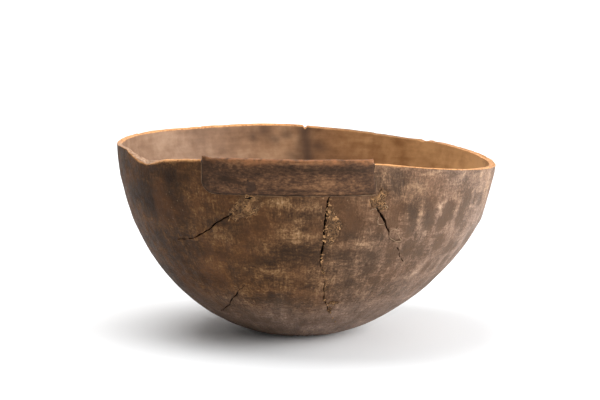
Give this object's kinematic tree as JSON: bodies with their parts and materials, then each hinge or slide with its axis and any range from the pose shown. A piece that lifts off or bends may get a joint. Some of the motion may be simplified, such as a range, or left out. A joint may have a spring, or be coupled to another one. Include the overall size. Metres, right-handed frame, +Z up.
{
  "type": "carved wooden bowl",
  "caption": "Deep round bowl carved from one block of wood, with a worn uneven rim, a darker board let into the rim and filled drying cracks.",
  "frame": {"origin": "middle of the bounding box's footprint, on the surface that the bowl stands on", "axes": "+Z up, +X along the longest width, -Y towards the side with the board let into the rim"},
  "size_m": [0.3179, 0.3058, 0.1627],
  "materials": {
    "old_wood": "dry, worn, with an old oiled surface",
    "patch_wood": "dark, worn, satin",
    "gum": "dull dried gum",
    "fibre_fill": "rough fibre set in dried gum"
  },
  "bodies": {
    "root": {"bowl_body": "old_wood", "rim_patch": "patch_wood", "patch_bedding": "gum", "left_crack_fill": "fibre_fill", "centre_crack_fill": "fibre_fill", "centre_crack_plugs": "fibre_fill", "right_crack_fill": "fibre_fill", "right_crack_flake": "old_wood"}
  },
  "joints": []
}
